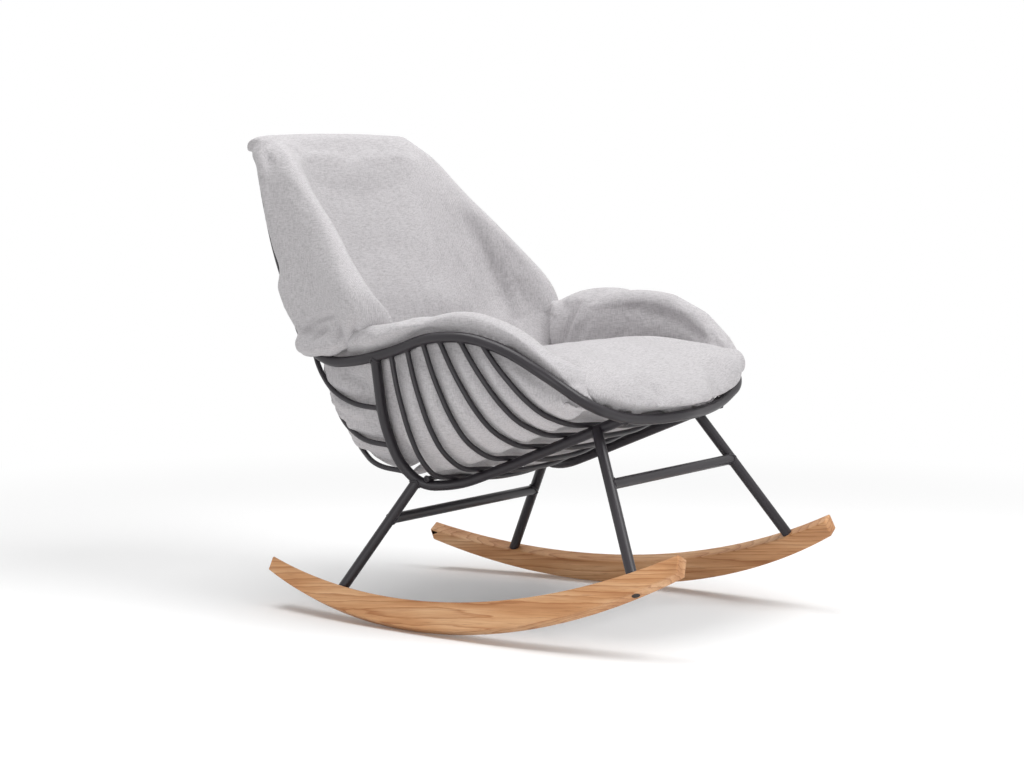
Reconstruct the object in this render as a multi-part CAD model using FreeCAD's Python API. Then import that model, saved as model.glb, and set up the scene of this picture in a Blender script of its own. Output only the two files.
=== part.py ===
import FreeCAD, Part
import math
import os

# Rocking lounge chair. A bent steel tube rim runs round the seat front, over both arms and up round
# the back. A tube hoop hangs under each arm, thin rods make the basket between them, and splayed
# legs stand the basket on two leaning wooden rockers. Loose cushions line the basket.
#
# Millimetres. The sitter faces -Y, +Z is up and the chair is symmetric about X = 0. It is modelled
# in the attitude in which it comes to rest on a level floor, leaning back by REST_TILT.
# Stations along Y are counted from the rear stretcher until the finished chair is centred on its
# own footprint at the end. Heights are above the floor.

V = FreeCAD.Vector

# Stock
TUBE_DIAMETER = 20.0
TUBE_WALL = 2.0
ROD_DIAMETER = 10.0
ROD_NOTCH = 0.8
BEND_SHARE = 0.45

# Rim, left half of its centre line
RIM_FRONT_Y = -508.0
RIM_FRONT_HEIGHT = 400.0
ARM_HALF_WIDTH = 321.0
ARM_PEAK_HEIGHT = 555.0
ARM_PEAK_Y = -240.0
RIM_DIP_HEIGHT = 487.0
RIM_DIP_Y = 116.0
BACK_FOOT_HALF_WIDTH = 258.0
BACK_TOP_HALF_WIDTH = 232.0
BACK_TOP_HEIGHT = 884.0
BACK_TOP_Y = 318.0
BACK_CORNER_REACH = 30.0
BACK_BELLY = 34.0

# Side hoops
HOOP_TOP_Y = -10.0
HOOP_RUN_HALF_WIDTH = 172.0
HOOP_CORNER_HEIGHT = 255.5
HOOP_CORNER_Y = -58.0

# Seat ribs: station of each on the rim and on the hoop
RIB_STATIONS = ((-50.0, -116.0), (-91.0, -172.0), (-131.0, -233.0),
                (-170.0, -298.0), (-217.0, -358.0), (-266.0, -412.0))
RIB_DIP = 16.0
RIB_REST_RUN = 60.0
CROSS_ROD_Y = -72.0
CROSS_ROD_OVERHANG = 5.0

# Back rods: height on the hoop, and share of the back's half width at its foot and at its top
BACK_RODS = ((405.0, 0.84, 0.71), (333.0, 0.58, 0.43), (283.0, 0.24, 0.14))

# Legs and stretchers
FRONT_FOOT_Y = -571.0
REAR_FOOT_Y = 75.0
FRONT_LEG_TOP_Y = -428.0
REAR_LEG_TOP_Y = -50.0
FRONT_STRETCHER_SHARE = 0.385
REAR_STRETCHER_SHARE = 0.36
FRONT_LEG_SIDESTEP = 9.0

LEGS = (("front", FRONT_FOOT_Y, FRONT_LEG_TOP_Y, FRONT_LEG_SIDESTEP),
        ("rear", REAR_FOOT_Y, REAR_LEG_TOP_Y, 0.0))

# Rockers
ROCKER_CHORD = 941.0
ROCKER_RADIUS = 1010.0
ROCKER_DEPTH = 55.0
ROCKER_REAR_DEPTH = 28.0
ROCKER_FRONT_DEPTH = 34.0
ROCKER_THICKNESS = 28.0
ROCKER_EDGE_RADIUS = 3.0
ROCKER_LEAN = 28.6
ROCKER_TOE = 1.1
ROCKER_CONTACT_HALF_WIDTH = 320.0
ROCKER_CONTACT_Y = -104.5
REST_TILT = 5.4

# Leg fixings
INSERT_LENGTH = 34.0
INSERT_CLEARANCE = 0.05
BOLT_DIAMETER = 8.0
BOLT_REACH = 22.0
BOLT_HEAD_DIAMETER = 13.0
BOLT_HEAD_HEIGHT = 8.0
BOLT_KEY_ACROSS = 6.0
BOLT_KEY_DEPTH = 4.0
BOLT_CLEARANCE = 0.2
WASHER_DIAMETER = 15.5
WASHER_THICKNESS = 1.6
COUNTERBORE_CLEARANCE = 0.25
HEAD_CLEARANCE = 3.0
PLUG_THICKNESS = 5.0
PLUG_INSET = 0.3

# Cushions
FABRIC_CLEARANCE = 1.0
ARM_PAD_THICKNESS = 44.0
ARM_PAD_RISE = 64.0
ARM_PAD_FULLNESS = (1.15, 1.10, 1.10, 1.12, 1.16, 1.22, 1.30, 1.26, 1.0, 0.55)
ARM_PAD_REAR = (-44.0, -86.0)
ARM_PAD_FRONT = ((-330.0, -446.0), (-395.0, -464.0), (-430.0, -474.0), (-450.0, -481.0))

# Seat cushion, from its rear end to its front: station, half width, underside, side, crown over it
SEAT_CUSHION = ((62.0, 112.0, 352.0, 408.0, 10.0), (34.0, 168.0, 318.0, 432.0, 14.0),
                (-32.0, 196.0, 290.0, 452.0, 18.0), (-92.0, 220.0, 286.0, 466.0, 20.0),
                (-170.0, 242.0, 307.0, 484.0, 22.0), (-270.0, 250.0, 341.0, 502.0, 22.0),
                (-355.0, 248.0, 380.0, 508.0, 22.0), (-420.0, 244.0, 410.0, 500.0, 18.0),
                (-456.0, 246.0, 413.0, 482.0, 14.0), (-480.0, 226.0, 413.0, 468.0, 10.0),
                (-497.0, 160.0, 414.0, 456.0, 7.0), (-509.0, 96.0, 415.0, 444.0, 5.0),
                (-516.0, 50.0, 421.0, 436.0, 3.0))

# Back cushion, its foot in the basket: height, thickness in the middle, its wing's crest across and
# along, and its rear corner across and along
BACK_FOOT = ((330.0, 52.0, 207.0, -40.0, 194.0, 82.0), (362.0, 62.0, 225.0, -58.0, 208.0, 108.0),
             (410.0, 66.0, 243.0, -50.0, 220.0, 120.0), (462.0, 70.0, 258.0, -42.0, 227.0, 138.0),
             (520.0, 74.0, 303.0, -37.0, 240.0, 160.0))
# Its wings, which go round the uprights: share of the rim's climb, thickness in the middle, and how
# far the crest stands outside the upright and before it
BACK_WINGS = ((0.209, 76.0, 69.3, 243.8), (0.310, 76.0, 74.3, 244.2), (0.486, 76.0, 60.6, 213.3),
              (0.662, 72.0, 38.2, 169.8), (0.839, 64.0, 22.6, 117.6), (0.945, 56.0, 14.1, 82.6))
# Hood, from the front of the top rail over it to the rear: angle round the rail, thickness, half width
HOOD = ((0.0, 46.0, 232.0), (40.0, 36.0, 235.0), (80.0, 22.0, 237.0), (120.0, 20.0, 238.0),
        (160.0, 19.0, 237.0), (200.0, 18.0, 233.0))

TUBE_RADIUS = TUBE_DIAMETER / 2
ROD_RADIUS = ROD_DIAMETER / 2
BORE_RADIUS = TUBE_RADIUS - TUBE_WALL


def mirrored(shape):
    """The same shape on the other side of the chair."""
    return shape.mirror(V(0, 0, 0), V(1, 0, 0))


def flipped(point):
    """The same point on the other side of the chair."""
    return V(-point.x, point.y, point.z)


def blend(first, second, share):
    """What lies between two numbers or two points by a share."""
    return first + (second - first) * share


def corner_arc(before, corner, after):
    """The tangent arc, as large as fits, that takes the place of a corner between two runs."""
    back, on = before - corner, after - corner
    reach = BEND_SHARE * min(back.Length, on.Length)
    back.normalize()
    on.normalize()
    half_angle = back.getAngle(on) / 2
    radius = reach * math.tan(half_angle)
    inward = back + on
    inward.normalize()
    middle = corner + inward * (radius / math.sin(half_angle) - radius)
    return Part.Arc(corner + back * reach, middle, corner + on * reach).toShape()


def run_between(first, second):
    """The straight run from the end of one arc to the start of the next."""
    return Part.makeLine(first.valueAt(first.LastParameter), second.valueAt(second.FirstParameter))


def bent_edges(points):
    """Straight runs from point to point, with a tangent arc at each corner."""
    arcs = [corner_arc(*three) for three in zip(points, points[1:], points[2:])]
    edges = [Part.makeLine(points[0], arcs[0].valueAt(arcs[0].FirstParameter))]
    for arc, following in zip(arcs, arcs[1:]):
        edges += [arc, run_between(arc, following)]
    return edges + [arcs[-1], Part.makeLine(arcs[-1].valueAt(arcs[-1].LastParameter), points[-1])]


def ring_edges(points):
    """The same for a closed ring: the arc at each point, each followed by the run to the next."""
    count = len(points)
    arcs = [corner_arc(points[k - 1], points[k], points[(k + 1) % count]) for k in range(count)]
    edges = []
    for k, arc in enumerate(arcs):
        edges += [arc, run_between(arc, arcs[(k + 1) % count])]
    return edges


def swept(edges, outer, inner=0.0):
    """A round bar, or a tube if it has an inner radius, along a chain of tangent edges."""
    first = edges[0]
    start = first.valueAt(first.FirstParameter)
    along = first.tangentAt(first.FirstParameter)
    section = Part.Face(Part.Wire(Part.makeCircle(outer, start, along)))
    if inner:
        bore = Part.Face(Part.Wire(Part.makeCircle(inner, start, along)))
        section = section.cut(bore).Faces[0]
    return Part.Wire(edges).makePipe(section).Solids[0]


def tube(edges):
    """A steel tube along a chain of edges."""
    return swept(edges, TUBE_RADIUS, BORE_RADIUS)


def full_tube(edges):
    """The space that a tube takes, with its bore filled."""
    return swept(edges, TUBE_RADIUS)


def largest(shape):
    """The biggest solid of a cut."""
    return max(shape.Solids, key=lambda solid: solid.Volume)


def coped(shape, *others):
    """A bar trimmed where it meets others, as a welder files its end to sit on them."""
    for other in others:
        shape = largest(shape.cut(other))
    return shape


def crossing(edges, axis, value):
    """The point of a centre line at which its coordinate along an axis has a value."""
    reach = 3000.0
    ends = ((-reach, -reach), (reach, -reach), (reach, reach), (-reach, reach), (-reach, -reach))
    place = {"x": lambda a, b: V(value, a, b), "y": lambda a, b: V(a, value, b),
             "z": lambda a, b: V(a, b, value)}[axis]
    plane = Part.Face(Part.makePolygon([place(a, b) for a, b in ends]))
    return Part.Wire(edges).distToShape(plane)[1][0][0]


def direction_at(edges, point):
    """The direction of a centre line at a point on it."""
    spot = Part.Vertex(point)
    nearest = min(edges, key=lambda edge: edge.distToShape(spot)[0])
    return nearest.tangentAt(nearest.Curve.parameter(point))


# Rim
def rim_points():
    """Control points of the left half of the rim, from the seat front to the top of the back."""
    rise = ARM_PEAK_HEIGHT - RIM_FRONT_HEIGHT
    run = ARM_PEAK_Y - RIM_FRONT_Y
    fall = ARM_PEAK_HEIGHT - RIM_DIP_HEIGHT
    drop = RIM_DIP_Y - ARM_PEAK_Y
    climb = BACK_TOP_HEIGHT - RIM_DIP_HEIGHT
    sweep = BACK_TOP_Y - RIM_DIP_Y

    def front(width, length, height):
        return V(ARM_HALF_WIDTH * width, RIM_FRONT_Y + run * length, RIM_FRONT_HEIGHT + rise * height)

    def arm(narrowing, length, height):
        return V(blend(ARM_HALF_WIDTH, BACK_FOOT_HALF_WIDTH, narrowing),
                 ARM_PEAK_Y + drop * length, ARM_PEAK_HEIGHT - fall * height)

    def back(narrowing, length, height):
        return V(blend(BACK_FOOT_HALF_WIDTH, BACK_TOP_HALF_WIDTH, narrowing),
                 RIM_DIP_Y + sweep * length, RIM_DIP_HEIGHT + climb * height)

    corner = V(BACK_TOP_HALF_WIDTH - BACK_CORNER_REACH, BACK_TOP_Y + BACK_CORNER_REACH / 4, BACK_TOP_HEIGHT)
    middle = V(0, BACK_TOP_Y + BACK_BELLY / 2, BACK_TOP_HEIGHT + ROD_RADIUS)
    return [front(0.0, 0.0, 0.0), front(0.28, 0.045, -0.005), front(0.545, 0.086, 0.045),
            front(0.86, 0.134, 0.245), front(0.985, 0.36, 0.575), front(1.0, 0.68, 0.86),
            arm(0.0, 0.0, 0.0), arm(0.09, 0.275, 0.09), arm(0.28, 0.503, 0.53),
            arm(0.47, 0.78, 0.88), arm(0.70, 1.0, 1.0),
            back(0.0, 0.37, 0.083), back(0.40, 0.595, 0.331), back(0.62, 0.777, 0.54),
            back(0.83, 0.906, 0.755), back(1.0, 1.0, 0.941),
            corner, blend(corner, middle, 0.5) + V(0, 2, 1), middle]


# The rim is welded up from six tubes: the one to which each control point of the left half belongs
RIM_TUBES = ("front",) * 4 + ("arm",) * 7 + ("upright",) * 5 + ("top",) * 3


def joint(name):
    """Where a tube of the rim begins among the rim's edges, of which each control point has two."""
    return 2 * RIM_TUBES.index(name)


def rim_pieces():
    """Centre line of the rim's left half, and those of its front, arm, upright and top tubes."""
    left = rim_points()
    ring = ring_edges(left + [flipped(point) for point in left[-2:0:-1]])
    arm, upright, top = [joint(name) for name in ("arm", "upright", "top")]
    middle = 2 * (len(left) - 1)
    front_tube = ring[1 - arm:] + ring[:arm]
    top_tube = ring[top:2 * middle - top + 1]
    return ring[:middle + 1], (front_tube, ring[arm:upright], ring[upright:top], top_tube)


# Side hoops
def hoop_points(rim):
    """Control points of the left hoop, from under the arm down, round and forward to the rim."""
    top = crossing(rim, "y", HOOP_TOP_Y)
    front = crossing(rim[:joint("arm")], "x", HOOP_RUN_HALF_WIDTH)
    corner = V(blend(top.x, HOOP_RUN_HALF_WIDTH, 0.66), HOOP_CORNER_Y, HOOP_CORNER_HEIGHT)
    height = top.z - corner.z
    upper = V(blend(top.x, corner.x, 0.47), top.y + height * 0.045, corner.z + height * 0.50)
    lower = V(blend(top.x, corner.x, 0.725), top.y - height * 0.036, corner.z + height * 0.18)
    run = front - corner
    heel = V(blend(corner.x, front.x, 0.75), corner.y + run.y * 0.155, corner.z + run.z * 0.033)
    sole = V(front.x, corner.y + run.y * 0.37, corner.z + run.z * 0.27)
    return [top, upper, lower, corner, heel, sole, front]


# Seat ribs
def rest_on_hoop(hoop, station):
    """Where a rod's centre line lies as it crosses over the hoop, sunk into it by the notch."""
    centre = crossing(hoop[3:], "y", station)
    along = direction_at(hoop, centre)
    up = V(1, 0, 0).cross(along)
    up.normalize()
    if up.z < 0:
        up = up * -1
    return centre + up * (TUBE_RADIUS + ROD_RADIUS - ROD_NOTCH)


def basket_point(top, rest, depth):
    """A point of the basket's side in the plane of one rib. Depth runs from 0 at the rim to 1 at
    the hoop, and the width follows a superellipse: the fourth power of depth against the square."""
    width = math.sqrt(max(0.0, 1 - depth ** 4))
    return V(blend(rest.x, top.x, width), blend(top.y, rest.y, depth), blend(top.z, rest.z, depth))


def rib_points(top, rest):
    """Control points of one rib, from the left rim under the seat to the right rim."""
    down = V(0, rest.y - top.y, rest.z - top.z)
    fall = V(down)
    fall.normalize()
    swell = V(ROD_RADIUS, 0, 0)
    outer = V(rest.x + RIB_REST_RUN, rest.y, rest.z) - fall * ROD_RADIUS
    inner = V(rest.x - RIB_REST_RUN / 2, rest.y, rest.z) + fall * ROD_RADIUS / 2
    middle = V(RIB_REST_RUN, rest.y, rest.z) + fall * RIB_DIP
    left = [top, basket_point(top, rest, 0.28) + swell, basket_point(top, rest, 0.60) + swell,
            basket_point(top, rest, 0.82) + swell * 2, outer, inner, middle]
    return left + [flipped(point) for point in reversed(left)]


def cross_rod_points(hoop):
    """Control points of the rod that ties the two hoops at the seat's rear corner."""
    rest = rest_on_hoop(hoop, CROSS_ROD_Y)
    end = rest + V(TUBE_RADIUS + CROSS_ROD_OVERHANG, 0, 0)
    sag = V(RIB_REST_RUN, rest.y, rest.z - RIB_DIP / 2)
    return [end, V(rest.x - RIB_REST_RUN, rest.y, rest.z), sag, flipped(sag),
            V(RIB_REST_RUN - rest.x, rest.y, rest.z), flipped(end)]


# Back rods
def back_rod_points(rim, hoop, start_height, foot_share, top_share):
    """Control points of one back rod on the left, from the hoop rearwards and up to the top rail."""
    start = crossing(hoop[:6], "z", start_height)
    back = rim[joint("upright"):]

    def on_back(height_share, share):
        height = blend(RIM_DIP_HEIGHT + 2 * TUBE_RADIUS, BACK_TOP_HEIGHT, height_share)
        edge = crossing(back, "z", height)
        belly = BACK_BELLY * (1 - share ** 2) * (1 - 0.45 * height_share)
        return V(edge.x * share, edge.y + belly, height)

    foot = on_back(0.10, foot_share)
    end = crossing(rim[joint("top"):], "x", BACK_TOP_HALF_WIDTH * top_share)
    reach = foot.y - start.y
    rise = foot.z - start.z
    first = V(start.x - 2, start.y + reach * 0.30, start.z + rise * 0.02)
    second = V(blend(start.x, foot.x, 0.30), start.y + reach * 0.62, start.z + rise * 0.17)
    third = V(blend(start.x, foot.x, 0.68), start.y + reach * 0.87, start.z + rise * 0.52)
    shares = [(0.33, blend(foot_share, top_share, 0.4)), (0.60, blend(foot_share, top_share, 0.75)),
              (0.83, top_share)]
    return [start, first, second, third, foot] + [on_back(*pair) for pair in shares] + [end]


# Rockers
class Board:
    """One rocker's own frame: s along its chord to the rear, h up its width, n out through it."""

    def __init__(self):
        lean = FreeCAD.Rotation(V(0, 1, 0), -ROCKER_LEAN)
        toe = FreeCAD.Rotation(V(0, 0, 1), ROCKER_TOE)
        tilt = FreeCAD.Rotation(V(1, 0, 0), -REST_TILT)
        self.turn = tilt.multiply(toe).multiply(lean)
        self.s = self.turn.multVec(V(0, 1, 0))
        self.h = self.turn.multVec(V(0, 0, 1))
        self.n = self.turn.multVec(V(1, 0, 0))
        slope = math.atan(-self.s.z / self.h.z)
        lean_angle = math.radians(ROCKER_LEAN)
        lift = ROCKER_EDGE_RADIUS * (math.sin(lean_angle) + math.cos(lean_angle) - 1)
        self.contact = (ROCKER_RADIUS * math.sin(slope), ROCKER_RADIUS * (1 - math.cos(slope)))
        self.origin = (V(ROCKER_CONTACT_HALF_WIDTH, ROCKER_CONTACT_Y, -lift)
                       - self.s * self.contact[0] - self.h * self.contact[1]
                       + self.n * (ROCKER_THICKNESS / 2))

    def at(self, along, up, out=0.0):
        """A point given in the board's own frame, out being counted from its middle plane."""
        return self.origin + self.s * along + self.h * up + self.n * out

    def bottom(self, along):
        """Height of the bottom edge at a station."""
        return ROCKER_RADIUS - math.sqrt(ROCKER_RADIUS ** 2 - along ** 2)

    def ends(self):
        """Stations of the rear and front ends."""
        return ROCKER_CHORD / 2, -ROCKER_CHORD / 2

    def top_arc(self, out=0.0):
        """The top edge: an arc through the depths given at the rear end, middle and front end."""
        rear, front = self.ends()
        slant = ROCKER_EDGE_RADIUS
        return Part.Arc(self.at(rear - slant, self.bottom(rear) + ROCKER_REAR_DEPTH, out),
                        self.at(0, ROCKER_DEPTH, out),
                        self.at(front + slant, self.bottom(front) + ROCKER_FRONT_DEPTH, out)).toShape()

    def blank(self):
        """The board before drilling, with its long edges rounded."""
        rear, front = self.ends()
        half = ROCKER_THICKNESS / 2
        top = self.top_arc(-half)
        low = Part.Arc(self.at(front, self.bottom(front), -half), self.at(0, 0, -half),
                       self.at(rear, self.bottom(rear), -half)).toShape()
        start, end = top.valueAt(top.FirstParameter), top.valueAt(top.LastParameter)
        outline = Part.Wire([top, Part.makeLine(end, low.valueAt(low.FirstParameter)), low,
                             Part.makeLine(low.valueAt(low.LastParameter), start)])
        board = Part.Face(outline).extrude(self.n * ROCKER_THICKNESS)
        return board.makeFillet(ROCKER_EDGE_RADIUS, board.Edges)


class LegFixing:
    """The bolt that holds one leg down, its washer, plug and the bush in the leg, on one axis."""

    def __init__(self, board, blank, leg_top, foot):
        self.foot = foot
        self.blank = blank
        lean = leg_top - foot
        self.up = lean - board.n * lean.dot(board.n)
        self.up.normalize()
        depth = Part.makeLine(foot, foot - self.up * ROCKER_DEPTH * 3).common(blank).Length
        self.exit = foot - self.up * depth
        stack = WASHER_THICKNESS + BOLT_HEAD_HEIGHT + HEAD_CLEARANCE + PLUG_THICKNESS + PLUG_INSET
        self.seat = self.exit + self.up * stack
        self.roof = (foot - self.seat).Length

    def rod(self, radius, start, length, direction=1):
        """A round bar on the axis, from a point up, or down if the direction is -1."""
        return Part.makeCylinder(radius, length, start, self.up * direction)

    def drilling(self):
        """What is drilled out of the board: a clearance hole and a counterbore from below."""
        hole = self.rod(BOLT_DIAMETER / 2 + BOLT_CLEARANCE, self.foot + self.up * TUBE_DIAMETER,
                        TUBE_DIAMETER + self.roof + 1, -1)
        bore = self.rod(WASHER_DIAMETER / 2 + COUNTERBORE_CLEARANCE, self.seat, ROCKER_DEPTH * 2, -1)
        return hole.fuse(bore)

    def washer(self):
        """Flat washer on the roof of the counterbore."""
        ring = self.rod(WASHER_DIAMETER / 2, self.seat, WASHER_THICKNESS, -1)
        return ring.cut(self.rod(BOLT_DIAMETER / 2 + BOLT_CLEARANCE, self.seat, WASHER_THICKNESS, -1))

    def bolt(self):
        """Socket-head cap screw with its hexagon socket."""
        under_head = self.seat - self.up * WASHER_THICKNESS
        head = self.rod(BOLT_HEAD_DIAMETER / 2, under_head, BOLT_HEAD_HEIGHT, -1)
        shank = self.rod(BOLT_DIAMETER / 2, under_head,
                         WASHER_THICKNESS + self.roof + BOLT_REACH)
        screw = head.fuse(shank).removeSplitter()
        face = under_head - self.up * BOLT_HEAD_HEIGHT
        turn = FreeCAD.Rotation(V(0, 0, 1), self.up)
        corners = [face + turn.multVec(V(math.cos(math.radians(60 * k)), math.sin(math.radians(60 * k)), 0))
                   * (BOLT_KEY_ACROSS / math.sqrt(3)) for k in range(7)]
        socket = Part.Face(Part.makePolygon(corners)).extrude(self.up * BOLT_KEY_DEPTH)
        return largest(screw.cut(socket))

    def plug(self):
        """Cap in the counterbore's mouth, its face following the board's underside."""
        start = self.exit + self.up * (PLUG_THICKNESS + PLUG_INSET)
        cap = self.rod(WASHER_DIAMETER / 2, start, ROCKER_DEPTH, -1)
        inner = self.blank.copy()
        inner.translate(self.up * PLUG_INSET)
        return largest(cap.common(inner).common(self.blank))

    def insert(self, leg_edges):
        """Threaded bush welded in the leg's foot, tapped for the bolt."""
        foot_run = leg_edges[0]
        base = foot_run.valueAt(foot_run.FirstParameter)
        along = foot_run.tangentAt(foot_run.FirstParameter)
        bush = Part.makeCylinder(BORE_RADIUS - INSERT_CLEARANCE, INSERT_LENGTH + TUBE_RADIUS, base, along)
        return bush.cut(self.rod(BOLT_DIAMETER / 2, self.foot - self.up * TUBE_DIAMETER,
                                 TUBE_DIAMETER + BOLT_REACH)).cut(self.blank)


# Cushions
def soft_solid(sections):
    """A closed soft body through closed sections, each a list of points."""
    wires = []
    for points in sections:
        curve = Part.BSplineCurve()
        curve.interpolate(points, PeriodicFlag=True)
        wires.append(Part.Wire(curve.toShape()))
    return Part.makeLoft(wires, True, False).Solids[0]


def both_halves(left):
    """A closed row of points from its left half, which starts and ends on the middle plane."""
    return left + [flipped(point) for point in left[-2:0:-1]]


def arm_pad(rim, hoop):
    """The panel that lines the basket's left side and rolls over the arm."""
    stations = (ARM_PAD_REAR,) + RIB_STATIONS[1:] + ARM_PAD_FRONT
    skin = ROD_RADIUS + 3 * FABRIC_CLEARANCE
    sections = []
    for (top_y, rest_y), fullness in zip(stations, ARM_PAD_FULLNESS):
        top = crossing(rim, "y", top_y)
        rest = rest_on_hoop(hoop, rest_y)
        fall = V(0, rest.y - top.y, rest.z - top.z)
        fall.normalize()
        along = direction_at(rim, top)
        slant = abs(along.x / along.dot(V(1, 0, 0).cross(fall)))
        beside = (TUBE_RADIUS + 4 * FABRIC_CLEARANCE) * math.sqrt(1 + slant ** 2)
        above = TUBE_RADIUS + 4 * FABRIC_CLEARANCE
        rise, thick = ARM_PAD_RISE * fullness, ARM_PAD_THICKNESS * min(1.1, fullness)

        def side(depth, inward=0.0):
            return basket_point(top, rest, depth) - V(skin + inward, 0, 0)

        def over(width, height):
            return top - V(width, 0, 0) - fall * height

        lining = [side(0.22, beside - skin), side(0.50), side(0.74), side(0.84, thick * 0.4)]
        inside = [side(0.78, thick), side(0.50, thick), side(0.18, beside - skin + thick)]
        roll = [over(beside + thick * 0.85, rise * 0.55), over(beside + thick * 0.25, rise),
                over(beside * 0.2, rise * 0.9), over(-3, above + rise * 0.25), over(2, above),
                over(beside * 0.9, above * 0.6)]
        sections.append(lining + inside + roll)
    return soft_solid(sections)


def seat_cushion():
    """The loose seat cushion, crowned on top and resting in the bottom of the basket."""
    sections = []
    for station, half, base, side, crown in SEAT_CUSHION:
        sections.append(both_halves([
            V(0, station, base), V(half * 0.55, station, base + 1), V(half * 0.82, station, blend(base, side, 0.28)),
            V(half, station, blend(base, side, 0.68)), V(half * 0.90, station, side + crown * 0.2),
            V(half * 0.5, station, side + crown * 0.85), V(0, station, side + crown)]))
    return soft_solid(sections)


def back_cushion(rim, inner_rod):
    """The back cushion: its wings run down to the arms and its hood drops over the top rail."""
    gap = ROD_RADIUS + 2 * FABRIC_CLEARANCE
    upright = rim[joint("upright"):]
    sections = []
    rows = list(BACK_FOOT)
    for share, thick, outside, before in BACK_WINGS:
        beside = crossing(upright, "z", blend(RIM_DIP_HEIGHT, BACK_TOP_HEIGHT, share))
        rows.append((beside.z, thick, beside.x + outside, beside.y - before,
                     beside.x + TUBE_RADIUS, beside.y - ROD_RADIUS))
    for height, thick, wing, reach, corner_x, corner_y in rows:
        inner = crossing(inner_rod, "z", height)
        corner = V(corner_x, corner_y, 0)
        behind, front = inner.y - gap, inner.y - gap - thick
        sections.append(both_halves([
            V(0, behind, height), V(corner.x * 0.62, blend(behind, corner.y, 0.28), height),
            V(corner.x, corner.y, height), V(blend(corner.x, wing, 0.62), blend(corner.y, reach, 0.5), height),
            V(wing, reach + thick * 0.28, height), V(wing - thick * 0.28, reach, height),
            V(wing - thick * 0.75, blend(reach, front, 0.34), height),
            V(corner.x * 0.68, blend(reach, front, 0.82), height), V(0, front, height)]))
    rail = crossing(upright, "x", BACK_TOP_HALF_WIDTH / 2)
    for angle, deep, half in HOOD:
        out = FreeCAD.Rotation(V(1, 0, 0), -angle).multVec(V(0, -1, 0))
        near = rail + out * (TUBE_RADIUS + 2 * FABRIC_CLEARANCE)
        far = rail + out * (TUBE_RADIUS + deep)

        def between(width, share):
            return V(half * width, blend(near.y, far.y, share), blend(near.z, far.z, share))

        sections.append(both_halves([between(0, 0), between(0.62, 0), between(0.93, 0.05), between(0.985, 0.3),
                                     between(1.0, 0.55), between(0.97, 0.8), between(0.85, 0.97),
                                     between(0.5, 1), between(0, 1)]))
    return soft_solid(sections)


def build():
    """Every piece of the chair by name, in its own place."""
    rim, (front, arm, upright, top) = rim_pieces()
    hoop = bent_edges(hoop_points(rim))
    rim_space, hoop_space = full_tube(rim), full_tube(hoop)
    pieces = {}

    def both(name, shape):
        pieces[name + "_left"] = shape
        pieces[name + "_right"] = mirrored(shape)

    pieces["rim_front_tube"] = tube(front)
    pieces["rim_top_tube"] = tube(top)
    both("rim_arm_tube", tube(arm))
    both("rim_upright_tube", tube(upright))
    both("side_hoop", coped(tube(hoop), rim_space))

    spaces = [rim_space, mirrored(rim_space), hoop_space, mirrored(hoop_space)]
    for number, (top_y, rest_y) in enumerate(RIB_STATIONS, 1):
        points = rib_points(crossing(rim, "y", top_y), rest_on_hoop(hoop, rest_y))
        pieces["seat_rib_%d" % number] = coped(swept(bent_edges(points), ROD_RADIUS), *spaces)
    pieces["cross_rod"] = coped(swept(bent_edges(cross_rod_points(hoop)), ROD_RADIUS), *spaces[2:])

    rods = [bent_edges(back_rod_points(rim, hoop, *row)) for row in BACK_RODS]
    for number, rod in enumerate(rods, 1):
        both("back_rod_%d" % number, coped(swept(rod, ROD_RADIUS), rim_space, hoop_space))

    board = Board()
    blank = board.blank()
    mid_top = [board.top_arc()]
    legs, fixings = {}, []
    for name, foot_y, top_y, sidestep in LEGS:
        foot = crossing(mid_top, "y", foot_y)
        top = crossing(hoop, "y", top_y) + V(sidestep, 0, 0)
        axis = top - foot
        axis.normalize()
        edges = [Part.makeLine(foot - axis * TUBE_DIAMETER, top)]
        space = full_tube(edges)
        legs[name] = (foot, top, space)
        fixing = LegFixing(board, blank, top, foot)
        fixings.append((fixing, edges))
        both("%s_leg" % name, coped(tube(edges), hoop_space, blank))
    for name, share in (("front", FRONT_STRETCHER_SHARE), ("rear", REAR_STRETCHER_SHARE)):
        foot, top, space = legs[name]
        end = blend(top, foot, share)
        pieces["%s_stretcher" % name] = coped(tube([Part.makeLine(end, flipped(end))]), space, mirrored(space))

    rocker = blank
    groups = {"leg_inserts": [], "rocker_bolts": [], "rocker_washers": [], "rocker_plugs": []}
    for fixing, edges in fixings:
        rocker = rocker.cut(fixing.drilling())
        made = {"leg_inserts": fixing.insert(edges), "rocker_bolts": fixing.bolt(),
                "rocker_washers": fixing.washer(), "rocker_plugs": fixing.plug()}
        for name, shape in made.items():
            solid = largest(shape)
            groups[name] += [solid, mirrored(solid)]
    both("rocker", largest(rocker))
    for name, solids in groups.items():
        pieces[name] = Part.makeCompound(solids)

    clearance = swept(rim, TUBE_RADIUS + FABRIC_CLEARANCE)
    pad = arm_pad(rim, hoop)
    back = coped(back_cushion(rim, rods[2]), clearance, mirrored(clearance))
    both("arm_pad", pad)
    pieces["seat_cushion"] = seat_cushion()
    pieces["back_cushion"] = back
    return pieces


def settled(pieces):
    """The pieces moved so that the chair stands on Z = 0, centred on its own footprint."""
    box = Part.makeCompound(list(pieces.values())).optimalBoundingBox()
    shift = V(0, -(box.YMin + box.YMax) / 2, -box.ZMin)
    for shape in pieces.values():
        shape.translate(shift)
    return shift, box


os.makedirs("parts", exist_ok=True)
parts = build()
shift, box = settled(parts)
for part_name, part_shape in parts.items():
    part_shape.exportStep("parts/%s.step" % part_name)
print("nodes %d, footprint shift %.2f %.2f, size %.1f x %.1f x %.1f"
      % (len(parts), shift.y, shift.z, box.XLength, box.YLength, box.ZLength))
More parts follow.
